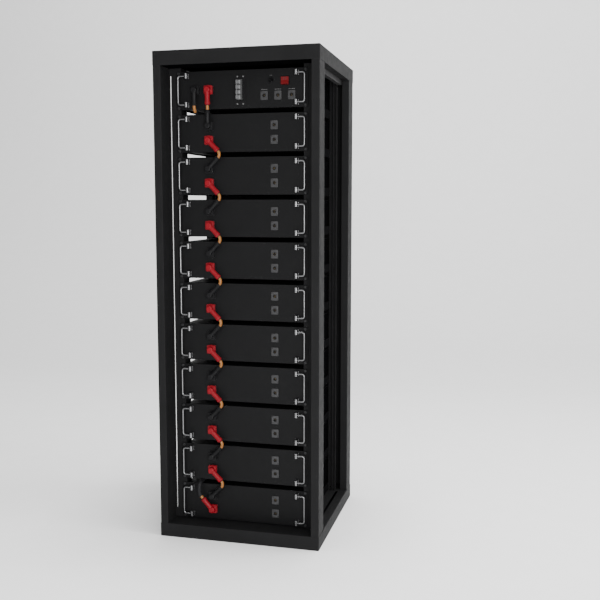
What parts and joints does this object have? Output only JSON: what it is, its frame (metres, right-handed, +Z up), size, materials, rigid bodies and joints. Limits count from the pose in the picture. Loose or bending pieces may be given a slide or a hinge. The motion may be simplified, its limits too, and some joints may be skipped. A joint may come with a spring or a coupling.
{
  "type": "rack battery cabinet",
  "caption": "Open steel rack cabinet that holds a control box above a stack of battery modules, with folding pull handles, power plugs and short power leads on their fronts.",
  "frame": {"origin": "on the floor, at the middle of the plinth's underside", "axes": "+Z up, +X to the right as seen from the front, front faces -Y"},
  "size_m": [0.6, 0.6, 1.75],
  "materials": {
    "frame": "textured black powder coat, satin",
    "panel": "black powder coat, matte",
    "runner": "black powder coat, matte",
    "handle": "satin",
    "bracket": "satin",
    "screws": "black oxide",
    "red_plastic": "moulded, satin",
    "black_plastic": "moulded, satin",
    "orange_cable": "satin",
    "black_sleeve": "matte",
    "port_metal": "satin",
    "breaker_grey": "moulded, satin",
    "cell_case": "film wrapped",
    "copper": "bare",
    "board": "solder mask"
  },
  "bodies": {
    "cabinet": {"base_plinth": "frame", "top_cover": "frame", "post_front_left": "frame", "post_front_right": "frame", "post_rear_left": "frame", "post_rear_right": "frame", "rack_rails": "frame", "depth_members": "frame", "back_panel": "frame", "support_runners": "runner", "control_box": "panel", "battery_module_01": "panel", "battery_module_02": "panel", "battery_module_03": "panel", "battery_module_04": "panel", "battery_module_05": "panel", "battery_module_06": "panel", "battery_module_07": "panel", "battery_module_08": "panel", "battery_module_09": "panel", "battery_module_10": "panel", "handle_brackets": "bracket", "power_sockets": "black_plastic", "plugs_red": "red_plastic", "plugs_black": "black_plastic", "power_cables": "orange_cable", "return_lead": "black_sleeve", "data_ports": "port_metal", "breaker_body": "breaker_grey", "switch_bezels": "black_plastic", "fasteners": "screws", "cells": "cell_case", "busbars_and_pins": "copper", "circuit_boards": "board", "control_gear": "black_plastic"},
    "handle_01_left": {"handle_01_left": "handle"},
    "handle_01_right": {"handle_01_right": "handle"},
    "handle_02_left": {"handle_02_left": "handle"},
    "handle_02_right": {"handle_02_right": "handle"},
    "handle_03_left": {"handle_03_left": "handle"},
    "handle_03_right": {"handle_03_right": "handle"},
    "handle_04_left": {"handle_04_left": "handle"},
    "handle_04_right": {"handle_04_right": "handle"},
    "handle_05_left": {"handle_05_left": "handle"},
    "handle_05_right": {"handle_05_right": "handle"},
    "handle_06_left": {"handle_06_left": "handle"},
    "handle_06_right": {"handle_06_right": "handle"},
    "handle_07_left": {"handle_07_left": "handle"},
    "handle_07_right": {"handle_07_right": "handle"},
    "handle_08_left": {"handle_08_left": "handle"},
    "handle_08_right": {"handle_08_right": "handle"},
    "handle_09_left": {"handle_09_left": "handle"},
    "handle_09_right": {"handle_09_right": "handle"},
    "handle_10_left": {"handle_10_left": "handle"},
    "handle_10_right": {"handle_10_right": "handle"},
    "handle_11_left": {"handle_11_left": "handle"},
    "handle_11_right": {"handle_11_right": "handle"},
    "push_button": {"push_button": "black_plastic"},
    "rocker_switch": {"rocker_switch": "red_plastic"},
    "breaker_lever": {"breaker_lever": "breaker_grey"}
  },
  "joints": [
    {"name": "handle_01_left_fold", "type": "hinge", "parent": "cabinet", "child": "handle_01_left", "pos_m": [-0.201, -0.2345, 1.61975], "axis": [0, 0, 1], "range_deg": [0, 90]},
    {"name": "handle_01_right_fold", "type": "hinge", "parent": "cabinet", "child": "handle_01_right", "pos_m": [0.201, -0.2345, 1.61975], "axis": [0, 0, -1], "range_deg": [0, 90]},
    {"name": "handle_02_left_fold", "type": "hinge", "parent": "cabinet", "child": "handle_02_left", "pos_m": [-0.201, -0.2345, 1.46975], "axis": [0, 0, 1], "range_deg": [0, 90]},
    {"name": "handle_02_right_fold", "type": "hinge", "parent": "cabinet", "child": "handle_02_right", "pos_m": [0.201, -0.2345, 1.46975], "axis": [0, 0, -1], "range_deg": [0, 90]},
    {"name": "handle_03_left_fold", "type": "hinge", "parent": "cabinet", "child": "handle_03_left", "pos_m": [-0.201, -0.2345, 1.31975], "axis": [0, 0, 1], "range_deg": [0, 90]},
    {"name": "handle_03_right_fold", "type": "hinge", "parent": "cabinet", "child": "handle_03_right", "pos_m": [0.201, -0.2345, 1.31975], "axis": [0, 0, -1], "range_deg": [0, 90]},
    {"name": "handle_04_left_fold", "type": "hinge", "parent": "cabinet", "child": "handle_04_left", "pos_m": [-0.201, -0.2345, 1.16975], "axis": [0, 0, 1], "range_deg": [0, 90]},
    {"name": "handle_04_right_fold", "type": "hinge", "parent": "cabinet", "child": "handle_04_right", "pos_m": [0.201, -0.2345, 1.16975], "axis": [0, 0, -1], "range_deg": [0, 90]},
    {"name": "handle_05_left_fold", "type": "hinge", "parent": "cabinet", "child": "handle_05_left", "pos_m": [-0.201, -0.2345, 1.01975], "axis": [0, 0, 1], "range_deg": [0, 90]},
    {"name": "handle_05_right_fold", "type": "hinge", "parent": "cabinet", "child": "handle_05_right", "pos_m": [0.201, -0.2345, 1.01975], "axis": [0, 0, -1], "range_deg": [0, 90]},
    {"name": "handle_06_left_fold", "type": "hinge", "parent": "cabinet", "child": "handle_06_left", "pos_m": [-0.201, -0.2345, 0.86975], "axis": [0, 0, 1], "range_deg": [0, 90]},
    {"name": "handle_06_right_fold", "type": "hinge", "parent": "cabinet", "child": "handle_06_right", "pos_m": [0.201, -0.2345, 0.86975], "axis": [0, 0, -1], "range_deg": [0, 90]},
    {"name": "handle_07_left_fold", "type": "hinge", "parent": "cabinet", "child": "handle_07_left", "pos_m": [-0.201, -0.2345, 0.71975], "axis": [0, 0, 1], "range_deg": [0, 90]},
    {"name": "handle_07_right_fold", "type": "hinge", "parent": "cabinet", "child": "handle_07_right", "pos_m": [0.201, -0.2345, 0.71975], "axis": [0, 0, -1], "range_deg": [0, 90]},
    {"name": "handle_08_left_fold", "type": "hinge", "parent": "cabinet", "child": "handle_08_left", "pos_m": [-0.201, -0.2345, 0.56975], "axis": [0, 0, 1], "range_deg": [0, 90]},
    {"name": "handle_08_right_fold", "type": "hinge", "parent": "cabinet", "child": "handle_08_right", "pos_m": [0.201, -0.2345, 0.56975], "axis": [0, 0, -1], "range_deg": [0, 90]},
    {"name": "handle_09_left_fold", "type": "hinge", "parent": "cabinet", "child": "handle_09_left", "pos_m": [-0.201, -0.2345, 0.41975], "axis": [0, 0, 1], "range_deg": [0, 90]},
    {"name": "handle_09_right_fold", "type": "hinge", "parent": "cabinet", "child": "handle_09_right", "pos_m": [0.201, -0.2345, 0.41975], "axis": [0, 0, -1], "range_deg": [0, 90]},
    {"name": "handle_10_left_fold", "type": "hinge", "parent": "cabinet", "child": "handle_10_left", "pos_m": [-0.201, -0.2345, 0.26975], "axis": [0, 0, 1], "range_deg": [0, 90]},
    {"name": "handle_10_right_fold", "type": "hinge", "parent": "cabinet", "child": "handle_10_right", "pos_m": [0.201, -0.2345, 0.26975], "axis": [0, 0, -1], "range_deg": [0, 90]},
    {"name": "handle_11_left_fold", "type": "hinge", "parent": "cabinet", "child": "handle_11_left", "pos_m": [-0.201, -0.2345, 0.11975], "axis": [0, 0, 1], "range_deg": [0, 90]},
    {"name": "handle_11_right_fold", "type": "hinge", "parent": "cabinet", "child": "handle_11_right", "pos_m": [0.201, -0.2345, 0.11975], "axis": [0, 0, -1], "range_deg": [0, 90]},
    {"name": "push_button_press", "type": "slide", "parent": "cabinet", "child": "push_button", "axis": [0, 1, 0], "range_m": [0, 0.0025], "stiffness_N_per_m": 400, "springref_m": -0.003},
    {"name": "rocker_switch_rock", "type": "hinge", "parent": "cabinet", "child": "rocker_switch", "pos_m": [0.159, -0.221, 1.6435], "axis": [1, 0, 0], "range_deg": [0, 16]},
    {"name": "breaker_lever_throw", "type": "hinge", "parent": "cabinet", "child": "breaker_lever", "pos_m": [-0.0025, -0.2365, 1.6161], "axis": [0, 0, 1], "range_deg": [0, 70]}
  ]
}
